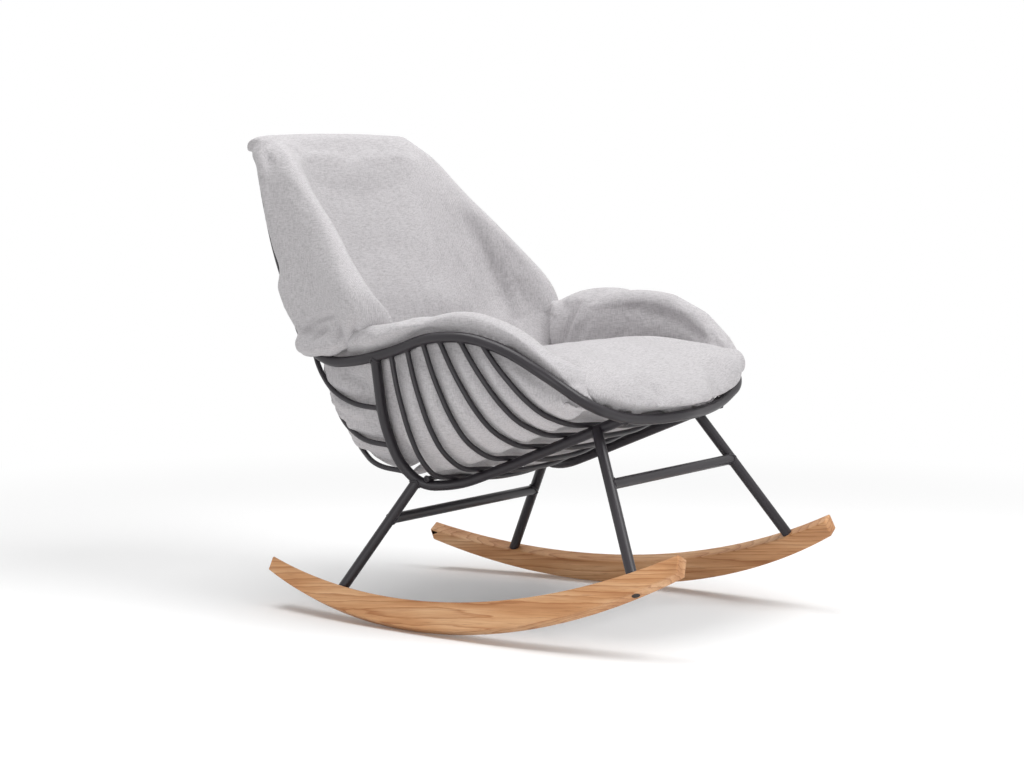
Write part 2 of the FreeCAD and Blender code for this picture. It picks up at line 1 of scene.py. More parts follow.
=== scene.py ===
"""Rocking lounge chair: welded basket of bent steel tube and rod on two leaning teak rockers, lined
with loose cushions covered in light grey woven cloth.

Lengths in the dataclasses are millimetres unless a field says otherwise. Meshes are in metres, in
the frame of the solids: the sitter faces -Y, +Z is up, X = 0 is the middle.
"""

import logging
import math
from dataclasses import dataclass, field
from enum import Enum
from typing import Any, Mapping, Sequence

import bmesh
import bpy
import numpy as np
from mathutils import Matrix, Vector
from mathutils.bvhtree import BVHTree


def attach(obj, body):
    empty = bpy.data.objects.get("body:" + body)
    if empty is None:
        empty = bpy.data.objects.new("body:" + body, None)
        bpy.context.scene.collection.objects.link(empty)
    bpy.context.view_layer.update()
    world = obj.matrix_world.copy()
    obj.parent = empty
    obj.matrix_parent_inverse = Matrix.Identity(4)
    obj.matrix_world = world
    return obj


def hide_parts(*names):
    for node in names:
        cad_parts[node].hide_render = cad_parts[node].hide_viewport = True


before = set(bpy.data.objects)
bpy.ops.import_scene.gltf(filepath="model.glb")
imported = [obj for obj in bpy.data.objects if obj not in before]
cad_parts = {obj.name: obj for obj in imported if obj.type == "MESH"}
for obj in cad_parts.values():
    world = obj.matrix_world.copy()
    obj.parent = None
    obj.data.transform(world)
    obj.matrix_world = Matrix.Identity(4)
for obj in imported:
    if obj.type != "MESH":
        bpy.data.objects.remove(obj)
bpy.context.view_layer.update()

LOG = logging.getLogger("rocking_chair")
MM = 0.001
MERGE_DISTANCE = 2e-6  # metres within which the vertices of loose triangles are one
WAVE_PERIOD = math.pi / 10  # a wave texture of scale one repeats at this distance
Array = np.ndarray


class Side(Enum):
    """The chair's sides, as the sitter has them, with the sign of X there."""

    LEFT = 1
    RIGHT = -1


class Slot(Enum):
    """The part's material slots that the new pieces take."""

    STEEL = "powder_coat"
    CLOTH = "cover_fabric"


def linear(colour: str) -> tuple[float, float, float, float]:
    """Turns an sRGB hex colour to linear light.

    Args:
        colour: six hex digits after a hash sign.

    Returns:
        Linear red, green, blue and an alpha of one.
    """
    levels = np.array([int(colour[k:k + 2], 16) for k in (1, 3, 5)]) / 255
    light = np.where(levels <= 0.04045, levels / 12.92, ((levels + 0.055) / 1.055) ** 2.4)
    return (*(float(level) for level in light), 1.0)


def add(tree: bpy.types.NodeTree, kind: str, inputs: Mapping[Any, Any] | None = None,
        **settings: Any) -> bpy.types.Node:
    """Adds a node with its settings, and fills or links its inputs.

    Args:
        tree: the tree that the node goes into.
        kind: Blender's name of the node's type.
        inputs: value, colour or output socket for each input, by name or number.
        settings: attributes of the node itself.

    Returns:
        The node.
    """
    node = tree.nodes.new(kind)
    for name, value in settings.items():
        setattr(node, name, value)
    for name, value in (inputs or {}).items():
        if isinstance(value, bpy.types.NodeSocket):
            tree.links.new(value, node.inputs[name])
        else:
            node.inputs[name].default_value = value
    return node


def blank_material(name: str) -> tuple[bpy.types.Material, bpy.types.NodeTree]:
    """Makes a material with an empty tree."""
    material = bpy.data.materials.new(name)
    material.use_nodes = True
    material.node_tree.nodes.clear()
    return material, material.node_tree


def ramp(tree: bpy.types.NodeTree, factor: bpy.types.NodeSocket,
         stops: Sequence[tuple[float, str]]) -> bpy.types.NodeSocket:
    """Adds a colour ramp and returns its colour.

    Args:
        tree: the material's tree.
        factor: what the ramp reads.
        stops: place and sRGB hex colour of each stop.

    Returns:
        The ramp's colour socket.
    """
    node = add(tree, "ShaderNodeValToRGB", {"Fac": factor})
    elements = node.color_ramp.elements
    while len(elements) < len(stops):
        elements.new(0.5)
    for element, (place, colour) in zip(elements, stops):
        element.position = place
        element.color = linear(colour)
    return node.outputs["Color"]


def geometry_tree(name: str) -> tuple[bpy.types.NodeTree, bpy.types.NodeSocket]:
    """Makes a geometry node tree that takes a mesh and gives one.

    Args:
        name: the tree's name.

    Returns:
        The tree, and the socket of the mesh that comes in.
    """
    tree = bpy.data.node_groups.new(name, "GeometryNodeTree")
    for direction in ("INPUT", "OUTPUT"):
        tree.interface.new_socket("Geometry", in_out=direction, socket_type="NodeSocketGeometry")
    return tree, add(tree, "NodeGroupInput").outputs[0]


def object_points(tree: bpy.types.NodeTree, scale: Sequence[float] = (1, 1, 1),
                  turn: Sequence[float] = (0, 0, 0), shift: Sequence[float] = (0, 0, 0)
                  ) -> bpy.types.NodeSocket:
    """Object coordinates, turned into the pattern's own frame and scaled.

    Args:
        tree: the material's tree.
        scale: factor along each axis of the pattern's frame.
        turn: Euler angles of the pattern's frame in radians.
        shift: origin of the pattern's frame in metres.

    Returns:
        The coordinates' socket.
    """
    place = add(tree, "ShaderNodeTexCoord").outputs["Object"]
    turned = add(tree, "ShaderNodeMapping", {"Vector": place, "Rotation": turn, "Location": shift},
                 vector_type="TEXTURE").outputs[0]
    return add(tree, "ShaderNodeMapping", {"Vector": turned, "Scale": scale}).outputs[0]


@dataclass(frozen=True)
class PowderCoat:
    """Polyester powder coat baked on steel: an anthracite satin film with a faint orange peel, which
    gives soft wide highlights along the tubes."""

    colour: str = "#211d22"
    dust: str = "#282429"
    roughness: float = 0.38
    peel_spacing: float = 1.6
    peel_height: float = 0.03

    def build(self) -> bpy.types.Material:
        """Returns the material."""
        material, tree = blank_material("powder_coated_steel")
        peel = add(tree, "ShaderNodeTexNoise", {"Vector": object_points(tree), "Detail": 2.0,
                                                "Scale": 1000 / self.peel_spacing}).outputs["Fac"]
        cloud = add(tree, "ShaderNodeTexNoise", {"Vector": object_points(tree), "Scale": 9.0,
                                                 "Detail": 3.0}).outputs["Fac"]
        bump = add(tree, "ShaderNodeBump", {"Height": peel, "Strength": 0.35,
                                            "Distance": self.peel_height * MM * 4}).outputs[0]
        colour = ramp(tree, cloud, ((0.35, self.colour), (0.7, self.dust)))
        gloss = add(tree, "ShaderNodeMapRange", {"Value": cloud, "From Min": 0.3, "From Max": 0.7,
                                                 "To Min": self.roughness - 0.04,
                                                 "To Max": self.roughness + 0.05}).outputs[0]
        shader = add(tree, "ShaderNodeBsdfPrincipled", {"Base Color": colour, "Roughness": gloss,
                                                        "Normal": bump, "IOR": 1.5,
                                                        "Specular IOR Level": 0.42})
        add(tree, "ShaderNodeOutputMaterial", {"Surface": shader.outputs[0]})
        return material


@dataclass(frozen=True)
class ZincPlate:
    """Bright zinc plate on turned steel fixings: a pale metal with fine turning marks."""

    colour: str = "#c9cbd0"
    roughness: float = 0.32

    def build(self) -> bpy.types.Material:
        """Returns the material."""
        material, tree = blank_material("zinc_plated_steel")
        marks = add(tree, "ShaderNodeTexNoise", {"Vector": object_points(tree), "Scale": 900.0,
                                                 "Detail": 3.0}).outputs["Fac"]
        colour = ramp(tree, marks, ((0.3, "#b4b6bb"), (0.7, self.colour)))
        bump = add(tree, "ShaderNodeBump", {"Height": marks, "Strength": 0.2, "Distance": 0.00005}).outputs[0]
        shader = add(tree, "ShaderNodeBsdfPrincipled", {"Base Color": colour, "Metallic": 1.0,
                                                        "Roughness": self.roughness, "Normal": bump})
        add(tree, "ShaderNodeOutputMaterial", {"Surface": shader.outputs[0]})
        return material


@dataclass(frozen=True)
class MouldedPlug:
    """Moulded polyethylene cap: a matt dark brown with a fine spark-eroded grain."""

    colour: str = "#17100c"
    roughness: float = 0.6

    def build(self) -> bpy.types.Material:
        """Returns the material."""
        material, tree = blank_material("moulded_polyethylene")
        grain = add(tree, "ShaderNodeTexNoise", {"Vector": object_points(tree),
                                                 "Scale": 1800.0}).outputs["Fac"]
        colour = ramp(tree, grain, ((0.3, self.colour), (0.8, "#221812")))
        bump = add(tree, "ShaderNodeBump", {"Height": grain, "Strength": 0.3, "Distance": 0.0001}).outputs[0]
        shader = add(tree, "ShaderNodeBsdfPrincipled", {"Base Color": colour, "Roughness": self.roughness,
                                                        "Normal": bump, "IOR": 1.5})
        add(tree, "ShaderNodeOutputMaterial", {"Surface": shader.outputs[0]})
        return material


@dataclass(frozen=True)
class OiledTeak:
    """Sawn, sanded and oiled teak board: warm brown with growth rings cut at a low angle, which make
    long wavering lines on the faces and short arcs on the ends, and fine dark pores along the grain."""

    side: Side = Side.LEFT
    lean_deg: float = 28.6
    toe_deg: float = 1.1
    tilt_deg: float = 5.4
    ring_spacing: float = 9.0
    pith: tuple[float, float, float] = (310.0, -61.0, 45.0)
    pith_shift: float = 100.0
    grain_stretch: float = 0.10
    waver: float = 30.0
    pore_width: float = 1.4
    pore_length: float = 42.0
    pale: str = "#dcb48c"
    body: str = "#cc9b6e"
    dark: str = "#b58155"
    pore: str = "#8f6240"
    roughness: float = 0.5

    def build(self) -> bpy.types.Material:
        """The board's frame has x out through it, y along it and z up its width. The rings are the
        distance from a pith that lies under the board and dips along it, bent by a slow noise.

        Returns:
            The material.
        """
        material, tree = blank_material("oiled_teak_" + self.side.name.lower())
        sign = self.side.value
        turn = (Matrix.Rotation(-math.radians(self.tilt_deg), 3, "X")
                @ Matrix.Rotation(math.radians(self.toe_deg) * sign, 3, "Z")
                @ Matrix.Rotation(-math.radians(self.lean_deg) * sign, 3, "Y"))
        angles = tuple(turn.to_euler())
        place = (self.pith[0] * MM * sign, (self.pith[1] + self.pith_shift * sign) * MM, self.pith[2] * MM)
        grain = object_points(tree, (1.0, self.grain_stretch, 1.0), angles, place)
        sway = add(tree, "ShaderNodeTexNoise", {"Vector": grain, "Scale": 26.0, "Detail": 2.0,
                                                "Roughness": 0.5}).outputs["Color"]
        sway = add(tree, "ShaderNodeVectorMath", {0: sway, 1: (0.5, 0.5, 0.5)},
                   operation="SUBTRACT").outputs[0]
        sway = add(tree, "ShaderNodeVectorMath", {0: sway, "Scale": self.waver * MM},
                   operation="SCALE").outputs[0]
        bent = add(tree, "ShaderNodeVectorMath", {0: grain, 1: sway}, operation="ADD").outputs[0]
        rings = add(tree, "ShaderNodeTexWave", {"Vector": bent, "Detail": 2.0, "Detail Scale": 6.0,
                                                "Distortion": 1.2,
                                                "Scale": WAVE_PERIOD / (self.ring_spacing * MM)},
                    wave_type="RINGS", rings_direction="Y", wave_profile="SAW").outputs["Fac"]
        slow = add(tree, "ShaderNodeTexNoise", {"Vector": grain, "Scale": 34.0, "Detail": 3.0}).outputs["Fac"]
        streak = object_points(tree, (1000 / self.pore_width, 1000 / self.pore_length,
                                      1000 / self.pore_width), angles)
        pores = add(tree, "ShaderNodeTexNoise", {"Vector": streak, "Scale": 1.0, "Detail": 2.0,
                                                 "Roughness": 0.6}).outputs["Fac"]
        fibre = object_points(tree, (420.0, 12.0, 420.0), angles)
        fibres = add(tree, "ShaderNodeTexNoise", {"Vector": fibre, "Scale": 1.0,
                                                  "Detail": 3.0}).outputs["Fac"]
        colour = ramp(tree, slow, ((0.30, self.dark), (0.48, self.body), (0.68, self.pale)))
        ring_tone = ramp(tree, rings, ((0.0, "#ffffff"), (0.72, "#f3ece4"), (0.93, "#cfb49b"),
                                       (1.0, "#f4eee8")))
        colour = add(tree, "ShaderNodeMix", {0: 0.85, 6: colour, 7: ring_tone}, data_type="RGBA",
                     blend_type="MULTIPLY").outputs[2]
        dark = add(tree, "ShaderNodeMapRange", {"Value": pores, "From Min": 0.60, "From Max": 0.74,
                                                "To Min": 0.0, "To Max": 0.55}).outputs[0]
        colour = add(tree, "ShaderNodeMix", {0: dark, 6: colour, 7: linear(self.pore)},
                     data_type="RGBA").outputs[2]
        fine = ramp(tree, fibres, ((0.3, "#f0e9e2"), (0.7, "#ffffff")))
        colour = add(tree, "ShaderNodeMix", {0: 1.0, 6: colour, 7: fine}, data_type="RGBA",
                     blend_type="MULTIPLY").outputs[2]
        height = add(tree, "ShaderNodeMath", {0: pores, 1: fibres}, operation="ADD").outputs[0]
        bump = add(tree, "ShaderNodeBump", {"Height": height, "Strength": 0.25,
                                            "Distance": 0.0003}).outputs[0]
        shader = add(tree, "ShaderNodeBsdfPrincipled", {"Base Color": colour, "Roughness": self.roughness,
                                                        "Normal": bump, "IOR": 1.45})
        add(tree, "ShaderNodeOutputMaterial", {"Surface": shader.outputs[0]})
        return material


@dataclass(frozen=True)
class WovenCloth:
    """Plain-woven outdoor acrylic in a mixed light grey yarn: crossing threads that read as a fine
    grain, a faint heather from the yarn's paler and darker fibres, and a soft matt nap."""

    colour: str = "#bcb9bb"
    light: str = "#c5c2c4"
    dark: str = "#aba8aa"
    thread_spacing: float = 2.6
    thread_height: float = 0.35
    heather_width: float = 1.6
    heather_length: float = 14.0
    roughness: float = 0.92

    def build(self) -> bpy.types.Material:
        """The weave is the sum of bands across each axis, each weighted by how far the face turns from
        that axis, so that two sets of threads cross on any face. Real threads are under a millimetre
        apart, too fine to show, so the bands are drawn a few times as coarse.

        Returns:
            The material.
        """
        material, tree = blank_material("woven_acrylic_cloth")
        place = add(tree, "ShaderNodeTexCoord").outputs["Object"]
        normal = add(tree, "ShaderNodeNewGeometry").outputs["Normal"]
        parts = add(tree, "ShaderNodeSeparateXYZ", {0: normal})
        threads = None
        tones = None
        for number, axis in enumerate("XYZ"):
            band = add(tree, "ShaderNodeTexWave", {"Vector": place, "Distortion": 1.6, "Detail": 1.0,
                                                   "Detail Scale": 3.0,
                                                   "Scale": WAVE_PERIOD / (self.thread_spacing * MM)},
                       wave_type="BANDS", bands_direction=axis, wave_profile="SIN").outputs["Fac"]
            square = add(tree, "ShaderNodeMath", {0: parts.outputs[number], 1: parts.outputs[number]},
                         operation="MULTIPLY").outputs[0]
            weight = add(tree, "ShaderNodeMath", {0: 1.0, 1: square}, operation="SUBTRACT").outputs[0]
            part = add(tree, "ShaderNodeMath", {0: band, 1: weight}, operation="MULTIPLY").outputs[0]
            threads = part if threads is None else add(tree, "ShaderNodeMath", {0: threads, 1: part},
                                                       operation="ADD").outputs[0]
            scale = [1000 / self.heather_width] * 3
            scale[number] = 1000 / self.heather_length
            streaks = object_points(tree, scale)
            streak = add(tree, "ShaderNodeTexNoise", {"Vector": streaks, "Scale": 1.0,
                                                      "Detail": 1.0}).outputs["Fac"]
            tone = add(tree, "ShaderNodeMath", {0: streak, 1: weight}, operation="MULTIPLY").outputs[0]
            tones = tone if tones is None else add(tree, "ShaderNodeMath", {0: tones, 1: tone},
                                                   operation="ADD").outputs[0]
        half = add(tree, "ShaderNodeMath", {0: tones, 1: 0.5}, operation="MULTIPLY").outputs[0]
        colour = ramp(tree, half, ((0.38, self.dark), (0.5, self.colour), (0.62, self.light)))
        weave = add(tree, "ShaderNodeMapRange", {"Value": threads, "From Min": 0.4, "From Max": 1.6,
                                                 "To Min": 0.90, "To Max": 1.03}).outputs[0]
        colour = add(tree, "ShaderNodeVectorMath", {0: colour, "Scale": weave}, operation="SCALE").outputs[0]
        bump = add(tree, "ShaderNodeBump", {"Height": threads, "Strength": 0.55,
                                            "Distance": self.thread_height * MM}).outputs[0]
        shader = add(tree, "ShaderNodeBsdfPrincipled", {"Base Color": colour, "Roughness": self.roughness,
                                                        "Normal": bump, "IOR": 1.4, "Sheen Weight": 0.25,
                                                        "Sheen Roughness": 0.5,
                                                        "Specular IOR Level": 0.25})
        add(tree, "ShaderNodeOutputMaterial", {"Surface": shader.outputs[0]})
        return material


def dress(obj: bpy.types.Object, material: bpy.types.Material) -> None:
    """Gives an object one material on all its faces."""
    if obj.data.materials:
        for number in range(len(obj.data.materials)):
            obj.data.materials[number] = material
    else:
        obj.data.materials.append(material)


def new_object(name: str, points: Array, faces: Sequence[Sequence[int]]) -> bpy.types.Object:
    """Makes a mesh object at the origin.

    Args:
        name: the object's name.
        points: vertices in metres, one row each.
        faces: vertex numbers of each face.

    Returns:
        The object, shaded smooth.
    """
    mesh = bpy.data.meshes.new(name)
    mesh.from_pydata(points.tolist(), [], [list(face) for face in faces])
    mesh.validate()
    mesh.polygons.foreach_set("use_smooth", np.ones(len(mesh.polygons), bool))
    obj = bpy.data.objects.new(name, mesh)
    bpy.context.scene.collection.objects.link(obj)
    return obj


def mesh_points(mesh: bpy.types.Mesh) -> Array:
    """Vertices of a mesh as rows."""
    flat = np.empty(len(mesh.vertices) * 3)
    mesh.vertices.foreach_get("co", flat)
    return flat.reshape(-1, 3)


def mesh_normals(mesh: bpy.types.Mesh) -> Array:
    """Vertex normals of a mesh as rows."""
    flat = np.empty(len(mesh.vertices) * 3, np.float32)
    mesh.vertex_normals.foreach_get("vector", flat)
    return flat.reshape(-1, 3).astype(float)


def set_points(mesh: bpy.types.Mesh, points: Array) -> None:
    """Moves the vertices of a mesh."""
    mesh.vertices.foreach_set("co", np.ascontiguousarray(points, np.float32).ravel())
    mesh.update()


def smoothstep(low: float, high: float, value: Array) -> Array:
    """Zero below low, one above high, and a smooth cubic between: 3t^2 - 2t^3."""
    share = np.clip((value - low) / (high - low), 0, 1)
    return share * share * (3 - 2 * share)


def line_distance(points: Array, line: Array) -> tuple[Array, Array]:
    """Distance from each point to a line of straight runs, and how far along it the nearest is.

    Args:
        points: rows of points.
        line: rows of the line's corners.

    Returns:
        The distances, and the shares of the line's length from 0 to 1.
    """
    lengths = np.linalg.norm(np.diff(line, axis=0), axis=1)
    starts = np.concatenate(([0.0], np.cumsum(lengths)))
    best = np.full(len(points), np.inf)
    share = np.zeros(len(points))
    for number, (start, end) in enumerate(zip(line, line[1:])):
        run = end - start
        along = np.clip((points - start) @ run / max(run @ run, 1e-12), 0, 1)
        away = np.linalg.norm(points - start - along[:, None] * run, axis=1)
        nearer = away < best
        best = np.where(nearer, away, best)
        share = np.where(nearer, (starts[number] + along * lengths[number]) / starts[-1], share)
    return best, share


@dataclass
class Photograph:
    """The camera: where it stood for the photograph, and the ray through one of its pixels."""

    azimuth_deg: float = -55.66
    elevation_deg: float = 5.50
    distance: float = 4858.8
    lens: float = 85.96
    sensor: float = 36.0
    aim_from: tuple[float, float, float] = (0.0, 155.77, 188.4)
    aim_right: float = 96.9
    aim_up: float = 240.98
    width: int = 1024
    height: int = 768

    def axes(self) -> tuple[Vector, Vector, Vector]:
        """Right, up and back of the camera."""
        turn, rise = math.radians(self.azimuth_deg), math.radians(self.elevation_deg)
        right = Vector((math.cos(turn), math.sin(turn), 0))
        back = Vector((math.sin(turn) * math.cos(rise), -math.cos(turn) * math.cos(rise), math.sin(rise)))
        return right, back.cross(right), back

    def place(self) -> Vector:
        """Where the camera stands."""
        right, up, back = self.axes()
        aim = Vector(self.aim_from) + right * self.aim_right + up * self.aim_up
        return (aim + back * self.distance) * MM

    def ray(self, u: float, v: float) -> tuple[Vector, Vector]:
        """Start and direction of the ray through a pixel."""
        right, up, back = self.axes()
        focal = self.lens / self.sensor * self.width
        ray = right * (u - self.width / 2) - up * (v - self.height / 2) - back * focal
        return self.place(), ray.normalized()

    def build(self) -> None:
        """Adds the camera."""
        right, up, back = self.axes()
        camera = bpy.data.cameras.new("camera")
        camera.lens = self.lens
        camera.sensor_width = self.sensor
        camera.clip_end = 60.0
        obj = bpy.data.objects.new("camera", camera)
        turn = Matrix((right, up, back)).transposed()
        obj.matrix_world = Matrix.Translation(self.place()) @ turn.to_4x4()
        bpy.context.scene.collection.objects.link(obj)
        bpy.context.scene.camera = obj


@dataclass
class Studio:
    """Pale floor that fades into a white room, and large soft lamps. Its lengths are metres, and each
    lamp has a name, a place, a diameter and a power in watts."""

    world_level: float = 0.38
    floor_colour: str = "#fbfbfb"
    fade_from: float = 1.1
    fade_to: float = 2.6
    lamps: tuple[tuple[str, tuple[float, float, float], float, float], ...] = (
        ("key", (0.2, -2.6, 3.2), 2.4, 88.0), ("side", (-3.2, -0.7, 0.8), 2.0, 20.0),
        ("top", (-0.3, 0.7, 3.6), 2.6, 74.0))
    aim: tuple[float, float, float] = (0.0, 0.0, 0.4)

    def seen(self, tree: bpy.types.NodeTree) -> bpy.types.NodeSocket:
        """One where the camera, a mirror or a glass sees the surface itself."""
        path = add(tree, "ShaderNodeLightPath")
        total = path.outputs["Is Camera Ray"]
        for name in ("Is Glossy Ray", "Is Transmission Ray"):
            total = add(tree, "ShaderNodeMath", {0: total, 1: path.outputs[name]},
                        operation="MAXIMUM").outputs[0]
        return total

    def build(self) -> None:
        """Adds the world, the lamps and the floor."""
        scene = bpy.context.scene
        scene.view_settings.view_transform = "Standard"
        world = bpy.data.worlds.new("white_room")
        scene.world = world
        world.use_nodes = True
        tree = world.node_tree
        tree.nodes.clear()
        level = add(tree, "ShaderNodeMix", {0: self.seen(tree), 2: self.world_level, 3: 1.0},
                    data_type="FLOAT")
        light = add(tree, "ShaderNodeBackground", {"Color": (1, 1, 1, 1), "Strength": level.outputs[0]})
        add(tree, "ShaderNodeOutputWorld", {"Surface": light.outputs[0]})
        for name, place, size, power in self.lamps:
            lamp = bpy.data.lights.new(name, "AREA")
            lamp.shape = "DISK"
            lamp.size = size
            lamp.energy = power
            obj = bpy.data.objects.new(name, lamp)
            obj.location = place
            obj.rotation_euler = (Vector(place) - Vector(self.aim)).to_track_quat("Z", "Y").to_euler()
            scene.collection.objects.link(obj)
        floor = new_object("floor", np.array([(-9, -9, 0), (9, -9, 0), (9, 9, 0), (-9, 9, 0)], float),
                           [(0, 1, 2, 3)])
        material, tree = blank_material("matt_painted_floor")
        place = add(tree, "ShaderNodeTexCoord").outputs["Object"]
        reach = add(tree, "ShaderNodeVectorMath", {0: place}, operation="LENGTH").outputs["Value"]
        fade = add(tree, "ShaderNodeMapRange", {"Value": reach, "From Min": self.fade_from,
                                                "From Max": self.fade_to}, interpolation_type="SMOOTHSTEP")
        lit = add(tree, "ShaderNodeMath", {0: fade.outputs[0], 1: self.seen(tree)}, operation="MULTIPLY")
        paint = add(tree, "ShaderNodeBsdfDiffuse", {"Color": linear(self.floor_colour)})
        glow = add(tree, "ShaderNodeEmission", {"Color": (1, 1, 1, 1), "Strength": 1.0})
        both = add(tree, "ShaderNodeMixShader", {0: lit.outputs[0], 1: paint.outputs[0], 2: glow.outputs[0]})
        add(tree, "ShaderNodeOutputMaterial", {"Surface": both.outputs[0]})
        dress(floor, material)


@dataclass
class SteelFrame:
    """The welded frame: its tubes and rods are the solids, shaded smooth, with a weld bead at each
    coped end."""

    crease_deg: float = 34.0
    tube_bead: float = 2.3
    rod_bead: float = 1.5
    ripple: float = 0.22
    ripple_length: float = 1.1
    around: int = 8
    branches: tuple[str, ...] = ("side_hoop_left", "side_hoop_right", "front_leg_left", "front_leg_right",
                                 "rear_leg_left", "rear_leg_right", "front_stretcher", "rear_stretcher",
                                 "seat_rib_1", "seat_rib_2", "seat_rib_3", "seat_rib_4", "seat_rib_5",
                                 "seat_rib_6", "cross_rod", "back_rod_1_left", "back_rod_1_right",
                                 "back_rod_2_left", "back_rod_2_right", "back_rod_3_left",
                                 "back_rod_3_right")
    rims: tuple[str, ...] = ("rim_front_tube", "rim_top_tube", "rim_arm_tube_left", "rim_arm_tube_right",
                             "rim_upright_tube_left", "rim_upright_tube_right")
    foot_height: float = 170.0
    bore_radius: float = 8.6
    rod_radius: float = 4.0
    widest_step: float = 5.0
    fewest_points: int = 12
    fewest_rings: int = 40
    even_passes: int = 3

    def smooth(self, obj: bpy.types.Object) -> None:
        """Shades a solid smooth between its creases: its triangles are welded, the shading is set by
        the angle between faces, and the mesh itself is left alone."""
        name = "shade_below_%d_degrees" % round(self.crease_deg)
        tree = bpy.data.node_groups.get(name) or self.shade_by_angle(name)
        obj.modifiers.new("shade", "NODES").node_group = tree

    def shade_by_angle(self, name: str) -> bpy.types.NodeTree:
        """Merges vertices that coincide and shades smooth, with sharp edges where faces meet at more
        than the crease angle."""
        tree, entry = geometry_tree(name)
        merged = add(tree, "GeometryNodeMergeByDistance", {"Geometry": entry, "Distance": MERGE_DISTANCE})
        soft = add(tree, "GeometryNodeSetShadeSmooth", {"Geometry": merged.outputs[0], "Shade Smooth": True})
        angle = add(tree, "GeometryNodeInputMeshEdgeAngle").outputs["Unsigned Angle"]
        below = add(tree, "FunctionNodeCompare", {0: angle, 1: math.radians(self.crease_deg)},
                    operation="LESS_THAN").outputs[0]
        sharp = add(tree, "GeometryNodeSetShadeSmooth", {"Geometry": soft.outputs[0], "Shade Smooth": below},
                    domain="EDGE")
        add(tree, "NodeGroupOutput", {0: sharp.outputs[0]})
        return tree

    def coped_edges(self, obj: bpy.types.Object) -> list[Array]:
        """Closed lines of sharp edges on a bar, where it was coped to sit on another.

        Args:
            obj: the bar.

        Returns:
            Rows of points for each closed line.
        """
        work = bmesh.new()
        work.from_mesh(obj.data)
        bmesh.ops.remove_doubles(work, verts=work.verts, dist=MERGE_DISTANCE)
        sharp = [edge for edge in work.edges
                 if len(edge.link_faces) == 2 and edge.calc_face_angle(0) > math.radians(self.crease_deg)]
        near: dict[Any, list] = {}
        for edge in sharp:
            for vert in edge.verts:
                near.setdefault(vert, []).append(edge.other_vert(vert))
        lines = []
        left = {vert for vert, others in near.items() if len(others) == 2}
        while left:
            start = left.pop()
            line, here = [start.co.copy()], near[start][0]
            while here in left:
                left.discard(here)
                line.append(here.co.copy())
                here = next((other for other in near[here] if other in left), None)
            if len(line) >= self.fewest_points:
                lines.append(np.array([tuple(point) for point in line]))
        work.free()
        return lines

    def bead(self, line: Array, radius: float) -> tuple[Array, Array]:
        """A weld bead along a closed line: a ring of circles in the plane of the line's direction and
        the direction away from its middle, whose radius ripples like the weld pool's steps.

        Args:
            line: rows of the closed line in metres.
            radius: the bead's radius in millimetres.

        Returns:
            Rows of points and rows of four vertex numbers.
        """
        count = max(self.fewest_rings, len(line))
        lengths = np.linalg.norm(np.diff(np.vstack((line, line[:1])), axis=0), axis=1)
        place = np.concatenate(([0], np.cumsum(lengths)))
        even = np.linspace(0, place[-1], count, endpoint=False)
        closed = np.vstack((line, line[:1]))
        ring = np.stack([np.interp(even, place, closed[:, k]) for k in range(3)], 1)
        for _ in range(self.even_passes):
            ring = (np.roll(ring, 1, 0) + 2 * ring + np.roll(ring, -1, 0)) / 4
        along = np.roll(ring, -1, 0) - np.roll(ring, 1, 0)
        along /= np.linalg.norm(along, axis=1, keepdims=True)
        away = ring - ring.mean(0)
        away -= along * (away * along).sum(1, keepdims=True)
        away /= np.linalg.norm(away, axis=1, keepdims=True)
        across = np.cross(along, away)
        steps = round(place[-1] / (self.ripple_length * radius * MM))
        swell = 1 + self.ripple * np.abs(np.sin(np.pi * steps * even / place[-1]))
        turn = np.linspace(0, 2 * np.pi, self.around, endpoint=False)
        size = (radius * MM * swell)[:, None, None]
        tube = ring[:, None] + size * (away[:, None] * np.cos(turn)[None, :, None]
                                       + across[:, None] * np.sin(turn)[None, :, None])
        rows, columns = np.meshgrid(np.arange(count), np.arange(self.around), indexing="ij")
        here, below = rows * self.around, (rows + 1) % count * self.around
        beside = (columns + 1) % self.around
        faces = np.stack((here + columns, below + columns, below + beside, here + beside), -1)
        return tube.reshape(-1, 3), faces.reshape(-1, 4)

    def beads(self) -> bpy.types.Object:
        """All weld beads as one piece."""
        points, faces, offset = [], [], 0
        for name in self.branches:
            rod = "rib" in name or "rod" in name
            for line in self.coped_edges(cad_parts[name]):
                middle = line.mean(0)
                size = np.linalg.norm(line - middle, axis=1)
                if middle[2] < self.foot_height * MM and "leg" in name:
                    continue
                if size.min() < (self.bore_radius if not rod else self.rod_radius) * MM:
                    continue
                if np.linalg.norm(line[0] - line[-1]) > self.widest_step * MM:
                    continue
                tube, quads = self.bead(line, self.rod_bead if rod else self.tube_bead)
                points.append(tube)
                faces.append(quads + offset)
                offset += len(tube)
        return new_object("weld_beads", np.vstack(points), np.vstack(faces).tolist())

    def build(self) -> None:
        """Dresses the tubes and rods and adds the beads."""
        coat = PowderCoat().build()
        for name in self.rims + self.branches:
            dress(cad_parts[name], coat)
            self.smooth(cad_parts[name])
        beads = self.beads()
        dress(beads, coat)
        work = bmesh.new()
        work.from_mesh(beads.data)
        bmesh.ops.recalc_face_normals(work, faces=work.faces)
        work.to_mesh(beads.data)
        work.free()
        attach(beads, "root")
        LOG.info("frame: %d solids, beads of %d faces", len(self.rims + self.branches),
                 len(beads.data.polygons))


